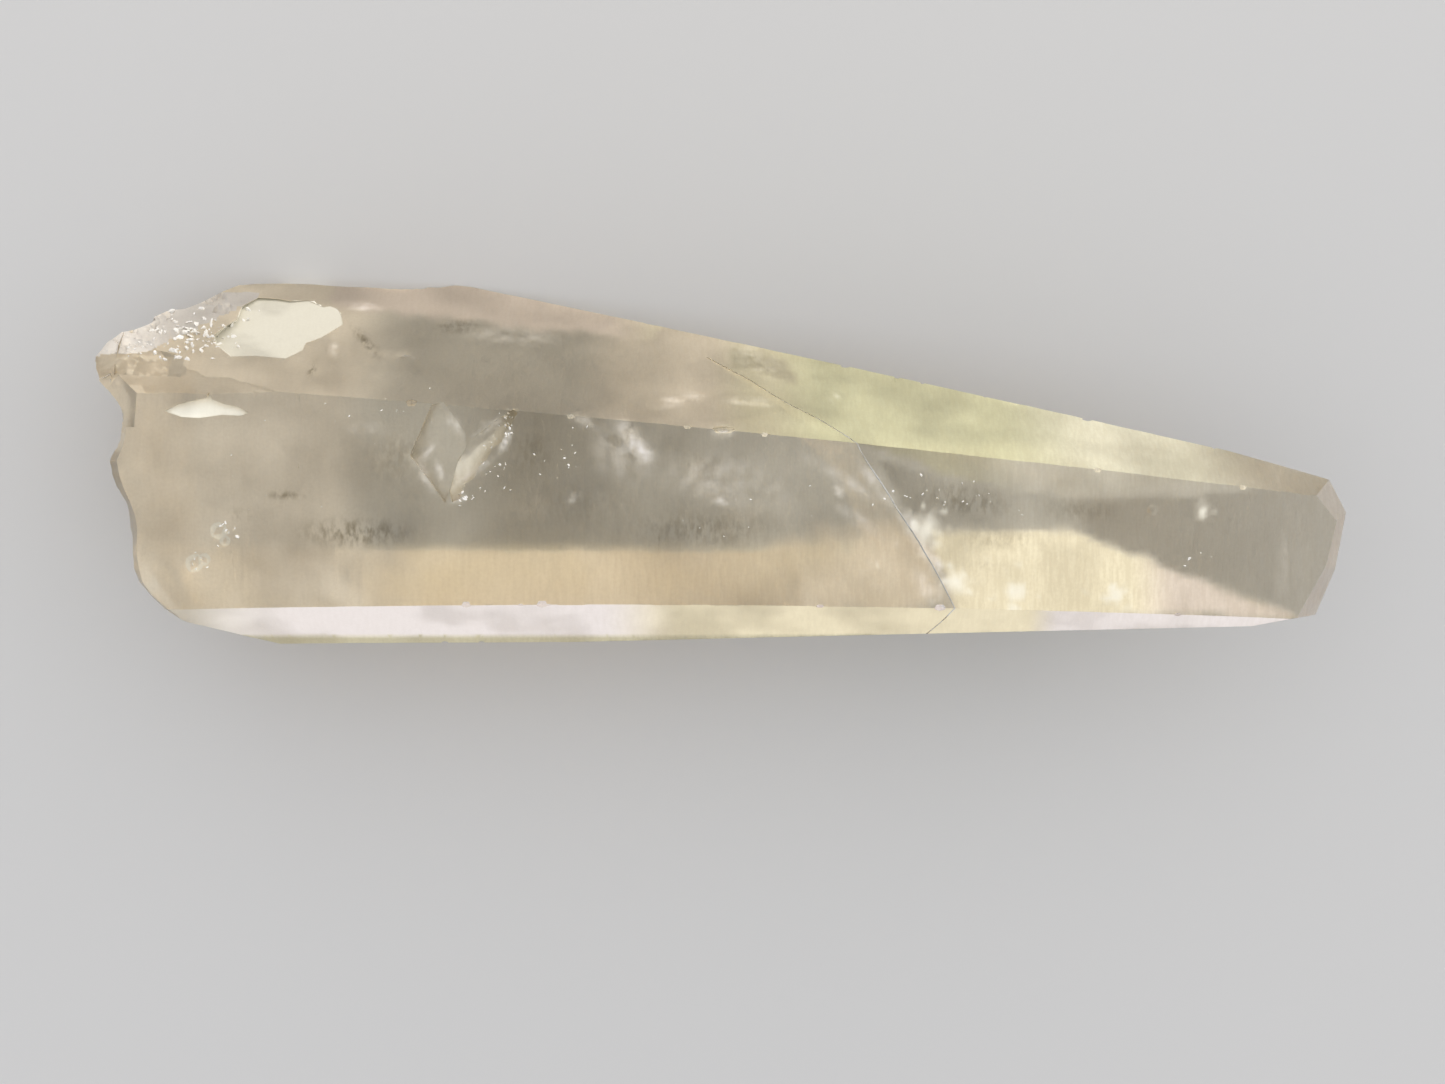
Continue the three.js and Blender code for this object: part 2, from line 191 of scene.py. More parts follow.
def add_floor():
    """A wide matt card."""
    bpy.ops.mesh.primitive_plane_add(size=FLOOR_SIZE, location=(0, 0, -FLOOR_GAP))
    floor = bpy.context.active_object
    floor.name = "floor"
    material, _, shader = new_material("matt_card")
    shader.inputs["Base Color"].default_value = linear(FLOOR_GREY)
    shader.inputs["Roughness"].default_value = FLOOR_ROUGHNESS
    shader.inputs["Specular IOR Level"].default_value = FLOOR_SHINE
    floor.data.materials.append(material)


def add_studio():
    """One even white tent, and a warm lamp low behind the crystal."""
    scene = bpy.context.scene
    scene.view_settings.view_transform = "Standard"
    world = bpy.data.worlds.new("studio")
    scene.world = world
    world.use_nodes = True
    background = world.node_tree.nodes["Background"]
    background.inputs["Color"].default_value = linear(TENT_WHITE)
    background.inputs["Strength"].default_value = 1.0
    add_light("warm_lamp", *WARM_LAMP)


# ---- surface of the crystal ----

# Outward direction of each natural face.
FACES = {
    "top": (0, 0, 1),
    "back_upper": (0.083, 0.863, 0.498),
    "back_lower": (0.292, 0.829, -0.478),
    "rest": (0, 0, -1),
    "front_lower": (0.059, -0.864, -0.499),
    "front_upper": (-0.02, -0.866, 0.5),
    "tip": (0.618, 0, -0.786),
}
FACE_MATCH = 0.985  # cosine of the furthest a facet may lean and still belong to a face

# Flat chips and prints, as drawn: a point of the floor, its outward direction and its reach, in mm.
CHIPS = {
    "pale_chip": ((-50, 19.3, 5.7), (0.022, 0.834, 0.551), 17),
    "edge_chip": ((-57, 4.75, 25.9), (0.02, 0.338, 0.941), 6),
    "print_broad": ((-28.2, 0.8, THICKNESS), (-0.21, -0.02, 0.977), 9),
    "print_narrow": ((-27.9, 2.3, THICKNESS), (0.387, -0.282, 0.878), 8),
}
CHIP_MATCH = 0.02  # mm that a facet of such a chip may lie off its plane
CHIP_LEAN = 0.9995  # cosine of the furthest that such a facet may lean

# The crack, as drawn: where it crosses the long edge, its line on the top face and its direction.
CRACK_AT = Vector((15.9, 2, THICKNESS))
CRACK_LINE = Vector((0.468, -0.884, 0))
CRACK_NORMAL = Vector((0.705, 0.374, -0.601))
CRACK_MATCH = (1.2, 0.88)  # mm that its walls may wave off its plane, and cosine of their furthest lean
WISP_SIZE = (9, 1.3)  # mm, along the crack's line and down from it
WISP_REACH = (13, 2)  # mm down from the top face where they end, and where they are full
WISP_CONTRAST = 1.2
LIP = (1.8, 0.5)  # mm down from the top face where the lip's own milkiness ends, and where it is full
LIP_MILK = 0.9

# Areas with a finish of their own, as drawn: the face, the corners of an outline without hollows in mm,
# anticlockwise from above, and how many mm its edge takes to fade.
AREAS = {
    # This band and the beige band are painted reflection: raised haze that lightens the lower band seen by
    # reflection inside the crystal.
    "sandy_band": ("top", [(-5, -18), (29.2, -18), (23.4, -5.4), (5, -7.4)], 3.6),
    # Painted reflection: a near-white matt band standing in for the bright light the crystal reflects inside
    # itself here.
    "etched_band": ("top", [(22.3, -7), (26, -18), (64.6, -18), (64, -16.4), (39.4, -7.4)], 1.3),
    "beige_band": ("top", [(-43, -18), (10, -18), (8, -9.8), (-41, -9.7)], 0.6),
    "dark_wedge": ("top", [(16.3, 1), (18.5, -3), (20.5, -6), (24, -7.8), (36.6, -7.8), (40, -5)], 0.9),
    # Painted reflection: a lighter strip under the long back edge, where the back face is seen by reflection
    # inside the crystal.
    "light_band": ("top", [(15, 1.8), (26.6, -2.5), (38.4, -4.8), (60, -3.8), (60, 3), (15, 4)], 0.9),
    "base_glow": ("top", [(-58, -18), (-39, -18), (-39, -8), (-54, -8)], 4),
    "back_rim": ("back_upper", [(-46, 17.7), (-8, 13.6), (2, 24), (-46, 24)], 1.2),
    # Painted shadow: a less hazy patch beside the crack, darker as the crack's shadow.
    "khaki_patch": ("back_upper", [(0.8, 10.5), (9.3, 8.3), (8, 12.5), (0.8, 14.5)], 1.2),
    "front_strip": ("front_upper", [(-70, -22), (20, -22), (20, -19.4), (-70, -19.4)], 0.2),
    # Painted light: the steep wall of the pale chip is made near white, so that its shade doesn't show.
    "chip_wall": ("broken", [(-59, 12), (-54, 10.5), (-42, 12), (-41, 20), (-50, 22), (-57.5, 19)], 0.5),
    "base_corner": ("broken", [(-72, 1), (-65.6, 1), (-65.6, 6.5), (-67, 9.6), (-72, 9.6)], 0.4),
    "base_scuffs": ("broken", [(-60, -14), (-52, -14), (-52, -5), (-60, -5)], 0.3),
    # Painted light: the nicks along the front and back edges are made matt and pale, so that the shade in
    # their steep walls doesn't show.
    "front_nicks": ("broken", [(-40, -17.5), (60, -17.5), (60, -14.5), (-40, -14.5)], 0.3),
    "back_nicks": ("broken", [(-14, 1), (60, -7), (60, 6), (-14, 8)], 0.3),
    "small_pit": ("broken", [(46, -7.5), (50, -7.5), (50, -3.5), (46, -3.5)], 0.3),
    "blade_top": ("print_narrow", [(-28.9, -0.2), (-23.2, 4.5), (-22, 6.5), (-29.5, 4)], 0.4),
}
EDGE_WOBBLE = (0.5, 2.5)  # mm that those edges wander, and over which length
# The crumbled corner, as drawn, and the least rise of its facets.
CRUMBLED = [(-72, 9.8), (-69.2, 9.8), (-64.9, 12.4), (-56, 12.9), (-53.6, 20), (-72, 20)]
CRUMBLED_UP = 0.2
# Chalky blooms on the top face, as drawn: middle and radius in mm.
BLOOMS = [
    ((32.6, -14.6), 1.8),
    ((43.9, -14.9), 1.6),
    ((22.9, -7.6), 2.4),
    ((26.2, -13.4), 2),
    ((53.6, -5.6), 1.2),
]
BLOOM_COVER = 0.75

# Milky veils and clay smudges right under the upper skin, as drawn: middle, length and width in mm, turn in
# degrees and strength. One veil is painted light and two smudges are painted shade, as marked below.
MARKS = {
    "veil": [
        ((-9.9, 2.3), (8.5, 3), -55, 1.2),
        ((-8.7, 0.9), (4.4, 3.4), -62, 1.3),
        ((-10.7, 0.8), (12, 9), -30, 0.45),
        ((-15.1, 4.2), (6, 2), -25, 0.6),
        ((0.4, -2.2), (22, 9), -10, 0.4),
        ((13.3, -1.9), (14, 2), -31, 0.5),
        ((15, -6.4), (10, 2), -32, 0.45),
        ((17.4, -2.7), (9, 2), -50, 0.7),
        ((22.7, -10), (12, 2), -57, 0.6),
        ((20.8, -6.4), (3, 2.2), -20, 1),
        ((24.2, -11.9), (4, 1.8), -70, 1),
        ((-16.6, -4.3), (2.4, 1.2), 30, 0.8),
        ((-0.1, -4.6), (3.4, 1.2), -10, 0.8),
        ((13.1, -3.4), (2.6, 1.4), -75, 1),
        ((-39.6, 3.6), (6, 1.8), 0, 0.4),
        ((-5.8, 6.7), (5, 2), 8, 0.6),
        ((-3.2, 7.5), (4, 1.4), -6, 0.5),
        ((3.5, 6.8), (8, 1.6), -4, 0.9),
        ((0.2, 3.2), (3.6, 1.8), 0, 0.9),
        ((13, 7.2), (3, 0.9), 50, 0.6),
        ((-44, 13), (3, 1.2), -80, 0.6),
        ((-24, 14.6), (16, 3), -4, 0.35),
        ((4, 12), (12, 5), -30, 0.4),
        ((-33.1, -1.5), (7, 1.5), -58, 0.8),
        ((-29.6, 4.2), (5, 1.3), -57, 0.7),
        ((-32.7, 1), (4, 1.3), 48, 0.8),
        ((-31.4, -1), (3.4, 1.2), -75, 0.8),
        ((-25.8, 3.8), (6, 1.2), 30, 0.8),
        ((-27.4, -1.2), (7, 1.3), 35, 0.9),
        ((-24, 2.1), (4.4, 1.3), 62, 1),
        ((-29.1, -4.2), (3, 1.6), 20, 1),
        ((62.6, -12), (12, 1.6), 88, 0.4),
        # Painted light: this veil lightens the shade at the lower end of the crack.
        ((23, -14), (6, 3.6), -58, 0.7),
        ((-41.6, 18.3), (6, 1.6), -6, 0.9),
    ],
    "smudge": [
        ((-40.5, -8), (18, 4.6), 0, 0.95),
        ((-36, 0.6), (10, 8), 20, 0.35),
        ((-48.5, -3.8), (6, 1.5), 0, 0.8),
        ((-53.6, -6), (5, 1.6), 0, 0.5),
        ((-16, -5), (24, 9), 0, 0.22),
        ((-2, -7.6), (26, 6), 0, 0.5),
        ((-7, -8.4), (0.9, 5), 0, 0.8),
        ((-2, -0.6), (10, 5), -20, 0.4),
        ((-21, 1), (8, 8), 0, 0.4),
        ((27, -4.4), (16, 5), -8, 0.6),
        ((40, -5.6), (14, 4), -4, 0.4),
        # Painted shade: this smudge darkens the top face along the upper edge of the bright band.
        ((31, -8.8), (12, 3), 0, 0.4),
        ((29.4, -11.6), (3, 1.2), 0, 0.3),
        # Painted shadow: this smudge darkens the crack's shadow beside the back edge.
        ((4.6, 11), (8, 3.4), -14, 0.25),
        ((-30.3, 15.8), (8, 3), 0, 0.7),
        ((-40.5, 13.7), (8, 1.5), -45, 1),
        ((-46, 10.4), (3, 1.4), 78, 1),
    ],
}

MARKED = ("top", "back_upper", "print_broad", "print_narrow")  # the faces with such marks

# Stains of the skin; some of these colours are painted light and painted shade, as marked below.
CLEAR = "#FFFFFF"
# Painted shade: a grey on the tip face, which darkens the shaded floor seen through it under the overhang.
PAINTED_SHADE_GREY = "#C0BDBA"
# Painted shadow: a grey on the face the crystal rests on, which darkens the floor seen through it as shadow
# would.
PAINTED_SHADOW_GREY = "#C4C2BC"
HONEY = "#EFEEC4"
STRAW = "#EFE7C4"
CREAM = "#F6EFDC"
PEACH = "#F3E3CC"
# Painted light: the pinkish white of the glare on the lower front face, and of the lightened nicks along the
# front edge.
PAINTED_LIGHT_BLUSH = "#FFF6F2"
CHALK = "#D6D3C6"
PLASTER = "#FFFBEC"
# Painted light: the near-white of the bright reflection band on the top face and of the glare on the lower
# front face.
PAINTED_LIGHT_IVORY = "#FFF2CF"
WHEAT = "#FFEED0"
OAT = "#F6F3DA"
SAND = "#F3E6CE"
SHELL = "#F8E8D6"
LILAC = "#EFEAE4"
MILK = "#FBF7F9"
# The smudges' clay, which in two of them is painted shade.
CLAY_AND_SHADE = "#93835F"
SHADE = "#B4AC9C"

# Finish along each face: x in mm, haze from 0, glassy, to 1, matt, and stain. Where marked, the haze and
# colour are painted light and shade.
FINISH = {
    "top": [
        (-70, 0.42, SAND), (-50, 0.4, SAND), (-44, 0.34, SAND), (-37, 0.21, CREAM), (-30, 0.19, CREAM),
        (-20, 0.09, CREAM), (0, 0.22, CREAM), (9, 0.29, CREAM), (22, 0.28, CREAM), (34, 0.3, CREAM),
        (38, 0.36, CREAM), (43, 0.14, CREAM), (52, 0.08, CREAM), (60, 0.08, CREAM), (66, 0.15, CREAM),
    ],
    # Painted reflection: the haze of the sandy and beige bands is raised to lighten the band seen by
    # reflection inside the crystal.
    "sandy_band": [(4, 0.36, WHEAT), (12, 0.48, WHEAT)],
    "beige_band": [(-40, 0.38, SAND), (-30, 0.38, WHEAT), (-4, 0.32, WHEAT)],
    "base_glow": [(-56, 0.46, SAND), (-46, 0.48, SAND)],
    "dark_wedge": [(18, 0.12, CREAM), (26, 0.26, CREAM), (36, 0.34, CREAM)],
    # Painted reflection: the high haze and near-white here stand in for light reflected inside the crystal.
    "etched_band": [
        (24, 0.68, PAINTED_LIGHT_IVORY), (30, 0.76, PAINTED_LIGHT_IVORY), (37, 0.96, PAINTED_LIGHT_IVORY), (45, 0.94, PAINTED_LIGHT_IVORY), (51, 0.76, SHELL),
        (57, 0.62, SHELL),
    ],
    # Painted reflection: the raised haze here lightens the strip where the back face shows by inner
    # reflection.
    "light_band": [
        (16, 0.2, STRAW), (24, 0.32, STRAW), (36, 0.46, CREAM), (46, 0.4, CREAM), (56, 0.28, CREAM),
    ],
    # From x 12 on, the haze is raised and stained honey and oat: partly the crystal's own colour, partly
    # painted light standing in for the bright floor seen through it.
    "back_upper": [
        (-60, 0.44, SAND), (-44, 0.38, SAND), (-34, 0.13, CREAM), (-18, 0.13, CREAM), (-11, 0.26, SAND),
        (-2, 0.38, SAND), (4, 0.4, STRAW), (12, 0.5, HONEY), (30, 0.52, HONEY), (43, 0.6, OAT),
        (51, 0.56, OAT), (63, 0.2, CREAM),
    ],
    "back_rim": [(-30, 0.3, SHELL), (-14, 0.4, SHELL), (-4, 0.44, STRAW)],
    # Painted glare: the lower front face is matt and near white along most of its length, standing in for
    # the glare it catches.
    "front_upper": [
        (-66, 0.4, CREAM), (-46, 1.0, PAINTED_LIGHT_BLUSH), (-14, 0.95, PAINTED_LIGHT_BLUSH), (-4, 0.82, PAINTED_LIGHT_IVORY), (34, 0.82, PAINTED_LIGHT_IVORY),
        (38, 1.0, PAINTED_LIGHT_BLUSH),
    ],
    # Painted shadow beside the crack.
    "khaki_patch": [(0, 0.24, STRAW)],
    "front_strip": [(-60, 0.54, STRAW), (20, 0.6, STRAW)],
    "pale_chip": [(0, 1.0, CHALK)],
    "edge_chip": [(0, 1.0, PLASTER)],
    "print_broad": [(0, 0.3, CREAM)],
    "print_narrow": [(0, 0.7, CREAM)],
    "blade_top": [(0, 0.26, CREAM)],
    # Painted light over the shade of the chip's wall.
    "chip_wall": [(0, 0.9, PLASTER)],
    "base_corner": [(0, 0.46, SAND)],
    "base_scuffs": [(0, 0.48, CREAM)],
    # Painted light over the shade of the nicks.
    "front_nicks": [(0, 0.9, PAINTED_LIGHT_BLUSH)],
    "back_nicks": [(0, 0.8, CREAM)],
    "small_pit": [(0, 0.16, CREAM)],
    "broken": [
        (-70, 0.22, SAND), (-62, 0.28, SAND), (-30, 0.34, SAND), (-20, 0.6, CREAM), (60, 0.6, CREAM),
        (64, 0.5, LILAC),
    ],
    "crumbled": [(-66, 0.62, LILAC), (-60, 0.42, LILAC)],
    "back_lower": [(-60, 0.2, CREAM), (60, 0.15, CREAM)],
    # The grey of the rest face is painted shadow: it darkens the floor seen through the crystal.
    "rest": [(-60, 0.1, PAINTED_SHADOW_GREY), (12, 0.1, PAINTED_SHADOW_GREY), (20, 0.2, PAINTED_SHADOW_GREY), (60, 0.2, PAINTED_SHADOW_GREY)],
    "front_lower": [(-60, 0.12, PEACH), (-10, 0.1, PEACH), (18, 0.02, CLEAR)],
    # The grey of the tip face is painted shade, darkening the floor seen through it.
    "tip": [(40, 0.05, PAINTED_SHADE_GREY), (70, 0.05, PAINTED_SHADE_GREY)],
    "crack": [(0, 0.9, CLEAR)],
}
SATIN = 0.28  # roughness of every face, apart from those that are smoother or duller
ROUGHNESS = {
    "back_lower": 0.15,
    "rest": 0.1,
    "front_lower": 0.1,
    "tip": 0.06,
    "crack": 0.2,
    "front_upper": 0.45,
    "pale_chip": 0.6,
    "edge_chip": 0.6,
}


def ramp(value, start, full):
    """0 before the start, 1 past the full value, and a straight line between them."""
    return min(max((value - start) / (full - start), 0), 1)


def eased(share):
    """The same share from 0 to 1, with a soft start and end."""
    return share * share * (3 - 2 * share)


def inside(point, outline):
    """How far a point lies inside an outline, in mm; less than nothing outside it."""
    ends = [Vector(corner) for corner in outline]
    sides = [(start, (end - start).normalized()) for start, end in zip(ends, ends[1:] + ends[:1])]
    return min(along.cross(point - start) for start, along in sides)


def face_at(point, normal):
    """Name of the natural face, chip, crack or break that a facet belongs to; point in mm."""
    drawn = point - TO_FRAME
    for name, (at, direction, reach) in CHIPS.items():
        away = drawn - Vector(at)
        outward = Vector(direction).normalized()
        if away.length < reach and abs(away.dot(outward)) < CHIP_MATCH and normal.dot(outward) > CHIP_LEAN:
            return name
    off, lean = CRACK_MATCH
    if abs((drawn - CRACK_AT).dot(CRACK_NORMAL)) < off and abs(normal.dot(CRACK_NORMAL)) > lean:
        return "crack"
    if normal.z > CRUMBLED_UP and inside(drawn.xy, CRUMBLED) > 0:
        return "crumbled"
    for name, direction in FACES.items():
        if normal.dot(Vector(direction).normalized()) > FACE_MATCH:
            return name
    return "broken"


def mark_at(drawn, marks):
    """How strongly a point lies in a veil or a smudge: 0 outside, and the mark's strength in its middle."""
    most = 0
    for middle, (length, width), turn, strength in marks:
        away = drawn.xy - Vector(middle)
        away.rotate(Matrix.Rotation(-math.radians(turn), 2))
        reach = math.hypot(2 * away.x / length, 2 * away.y / width)
        most = max(most, strength * eased(ramp(reach, 1, 0)))
    return most


def wisps(point):
    """How milky the crack's wall is, from 0 to 1: all along its lip, and in streaks that die away below."""
    away = point - TO_FRAME - CRACK_AT
    down = away.dot(CRACK_NORMAL.cross(CRACK_LINE))
    spot = Vector((away.dot(CRACK_LINE) / WISP_SIZE[0], down / WISP_SIZE[1], 0))
    streaks = min(max(0.5 + noise.noise(spot) * WISP_CONTRAST, 0), 1) * ramp(down, *WISP_REACH)
    return max(streaks, LIP_MILK * ramp(down, *LIP))


def finish_at(face, x):
    """Haze, roughness and colour of a face, its stains and its painted light and shade, blended between the
    stops of its finish.
    """
    rough = ROUGHNESS.get(face, SATIN)
    stops = [(place, Vector((haze, rough, *linear(stain_and_light)))) for place, haze, stain_and_light in FINISH[face]]
    after = next((i for i, (place, _) in enumerate(stops) if place > x), len(stops))
    if after in (0, len(stops)):
        return stops[min(after, len(stops) - 1)][1]
    (start, before), (end, beyond) = stops[after - 1 : after + 1]
    return before.lerp(beyond, eased(ramp(x, start, end)))


def finish_of(kind, point):
    """The finish of a point of a face, with its areas, its blooms and the crack's milkiness; point in mm."""
    drawn = point - TO_FRAME
    finish = finish_at(kind, drawn.x)
    wander, length = EDGE_WOBBLE
    for name, (face, outline, fade) in AREAS.items():
        if face == kind:
            depth = inside(drawn.xy, outline) + wander * fade * noise.noise(drawn / length)
            finish = finish.lerp(finish_at(name, drawn.x), eased(ramp(depth, 0, fade)))
    if kind == "top":
        for middle, radius in BLOOMS:
            away = (drawn.xy - Vector(middle)).length * (1 + noise.noise(drawn))
            finish = finish.lerp(finish_at("edge_chip", drawn.x), BLOOM_COVER * eased(ramp(away, radius, 0)))
    if kind == "crack":
        finish[0] *= wisps(point)
    return finish


def paint_faces(mesh, kinds):
    """Stores the finish and the marks of every facet's corners on the mesh."""
    layers = {"haze": "FLOAT", "rough": "FLOAT", "stain_and_light": "FLOAT_COLOR", "veil": "FLOAT", "smudge": "FLOAT"}
    for name, layer in layers.items():
        mesh.attributes.new(name, layer, "CORNER")
    haze, rough, stain_and_light, *marked = [mesh.attributes[name].data for name in layers]
    known = {}
    for facet, kind in zip(mesh.polygons, kinds):
        for corner, vertex in zip(facet.loop_indices, facet.vertices):
            if (kind, vertex) not in known:
                point = mesh.vertices[vertex].co / MM
                marks = [mark_at(point - TO_FRAME, MARKS[name]) * (kind in MARKED) for name in MARKS]
                known[kind, vertex] = finish_of(kind, point), marks
            finish, marks = known[kind, vertex]
            haze[corner].value, rough[corner].value, *stain_and_light[corner].color = finish
            for layer, amount in zip(marked, marks):
                layer[corner].value = amount


# ---- shape of the crystal ----

STRIA_PITCHES = (0.4 * MM, 0.8 * MM)  # spacing of the fine growth lines across every face
STRIA_DEPTH = 0.012 * MM
STRIA_LENGTH = 3 * MM  # how far a line keeps its depth along itself
STRIA_SEED = 4
ROW_PITCH = 2.6 * MM  # cuts along the crystal, so that a line can fade along itself
FINE_ROW_PITCH = 0.6 * MM  # of the faces that show from above
FACES_UP = 0.4  # least rise of such a face's outward direction

HACKLE_PITCH = 0.7 * MM  # spacing of the points of the broken surfaces
HACKLES = ((2.8 * MM, 0.5), (1.1 * MM, 0.4))  # size and slope of the little flat breaks
HACKLE_BACK = (10.5 * MM, 13 * MM)  # y where they start, and where they are at their full slope
# x where the hackles of the base start, x where they are full, and their share of the slope
HACKLE_BASE = (-63 * MM, -66 * MM, 0.35)
CELL_KEY = 100  # spreads the breaks' middles so far that each gets a tilt of its own
BROKEN_BEHIND = -20 * MM  # broken surfaces lie on the base side of this x

ROUGH = {"broken": 1, "crumbled": 1, "print_broad": 0.3, "print_narrow": 0.3}  # share of the slope by kind
FLAT_BELOW = 0.05 * MM  # height under which the skin is left flat, to rest on

SMOOTH_ANGLE = math.radians(14)


def is_rough(facet):
    """Whether a facet is on a broken surface, a print or a wall of the crack."""
    kind = face_at(facet.center / MM, facet.normal)
    return kind == "crack" or (kind in ROUGH and facet.center.x < BROKEN_BEHIND)


def cut_where(piece, wanted, places):
    """Cuts across each axis at its places, through the facets that are wanted and no others."""
    end_edit()
    for facet in piece.data.polygons:
        facet.select = wanted(facet)
    bpy.ops.object.mode_set(mode="EDIT")
    bpy.ops.mesh.hide(unselected=True)
    for axis, along in places.items():
        cut_rows(axis, along)
    bpy.ops.mesh.reveal()


def hackle(point, kind):
    """Depth of the broken surface: little flat breaks, each tilted its own way, at the back and the base."""
    depth = 0
    for size, slope in HACKLES:
        spot = noise.voronoi(point / size)[1][0]
        tilt = noise.cell_vector(spot * CELL_KEY) - Vector((0.5, 0.5, 0.5))
        depth += size * slope * tilt.dot(point / size - spot)
    start, full, share = HACKLE_BASE
    reach = max(ramp(point.y, *HACKLE_BACK), share * ramp(point.x, start, full)) if kind == "broken" else 1
    return min(depth, 0) * ROUGH[kind] * reach


def stria(point):
    """Depth of the growth lines: different at each cut across the crystal, slow to change along it."""
    along = Vector((point.x / STRIA_PITCHES[0], point.y / STRIA_LENGTH, point.z / STRIA_LENGTH))
    return STRIA_DEPTH * (noise.noise(along) - 1) / 2


def shape_skin(mesh, kinds):
    """Sinks each point of the skin by its growth line or roughness. The face it lies on stays flat."""
    around = {}
    for facet, kind in zip(mesh.polygons, kinds):
        for vertex in facet.vertices:
            around.setdefault(vertex, set()).add(kind)
    moves = []
    for vertex in mesh.vertices:
        if vertex.co.z < FLAT_BELOW:
            continue
        kind, *others = around[vertex.index]
        rough = not others and kind in ROUGH and vertex.co.x < BROKEN_BEHIND
        depth = hackle(vertex.co, kind) if rough else stria(vertex.co)
        moves.append((vertex, vertex.normal * depth))
    for vertex, move in moves:
        vertex.co += move


def add_crystal():
    """The crystal: the frame's solid with growth lines across its faces and hackles on its breaks."""
    piece = copy_of_crystal("quartz_crystal")
    low, high = [Vector(corner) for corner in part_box("crystal")]
    chance = random.Random(STRIA_SEED)
    cut_rows(0, chance_rows(low.x, high.x, STRIA_PITCHES, chance))
    cut_rows(1, rows(low.y, high.y, ROW_PITCH))
    cut_rows(2, rows(low.z, high.z, ROW_PITCH))
    cut_where(piece, lambda facet: facet.normal.z > FACES_UP, {1: rows(low.y, high.y, FINE_ROW_PITCH)})
    fine = {axis: rows(low[axis], high[axis], HACKLE_PITCH) for axis in (1, 2)}
    cut_where(piece, is_rough, fine)
    end_edit()
    kinds = [face_at(facet.center / MM, facet.normal) for facet in piece.data.polygons]
    shape_skin(piece.data, kinds)
    paint_faces(piece.data, kinds)
    bpy.ops.object.shade_smooth_by_angle(angle=SMOOTH_ANGLE)
    place_piece(piece, natural_quartz())
    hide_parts("crystal")


# Patterns of the skin: size in mm along the crystal and across it, detail, which stretch of the noise is
# used, and what it is spread to. The grain is drawn coarser than it is, so that it shows.
CLOUDS = ((9, 9), 4, (0.35, 0.65), (0.74, 1.26))
GRAIN = ((0.35, 0.35), 2, (0.3, 0.7), (0, 1))
LINES = ((0.4, 2.2222), 2, (0.3, 0.7), (0, 1))
MILK_PATCHES = ((1.5, 1.5), 5, (0.3, 0.7), (0, 0.7))
CLAY_SPOTS = ((0.5, 1.1111), 4, (0.4, 0.62), (0, 1))

GRAIN_SHARE = 0.4  # of the grain in the texture, beside the lines
LINES_GROW = ((-40 * MM, 10 * MM), (0.35, 1))  # x between which the lines grow stronger, and their shares
TEXTURE_SHADE = ((0.3, 0.45), (0.32, 0.14))  # roughness of a satin and a duller face, and how dark it gets
TEXTURE_HAZE = 0.1  # haze that the texture adds
MOST_CLEAR = 0.98  # share of the light that the clearest skin lets through
RELIEF = (0.4, 0.03 * MM)  # strength and height of the texture

QUARTZ_IOR = 1.544
HONEY_GLASS = "#F0DFA3"  # the colour that light takes on inside
HONEY_DEPTH = 20  # how fast it takes it on, per metre


def pattern(tree, place, size, detail, used, spread):
    """Noise of a size along and across the crystal, its used stretch spread from one value to another."""
    along, across = [1 / (length * MM) for length in size]
    stretched = node(tree, "ShaderNodeMapping", {"Vector": place, "Scale": (along, across, across)})
    spots = node(tree, "ShaderNodeTexNoise", {"Vector": stretched, "Scale": 1.0, "Detail": detail})
    return spread_out(tree, spots, used, spread)


def spread_out(tree, value, used, spread):
    """A value's used stretch spread from one value to another, and held there past its ends."""
    return node(tree, "ShaderNodeMapRange", dict(enumerate((value, *used, *spread))))


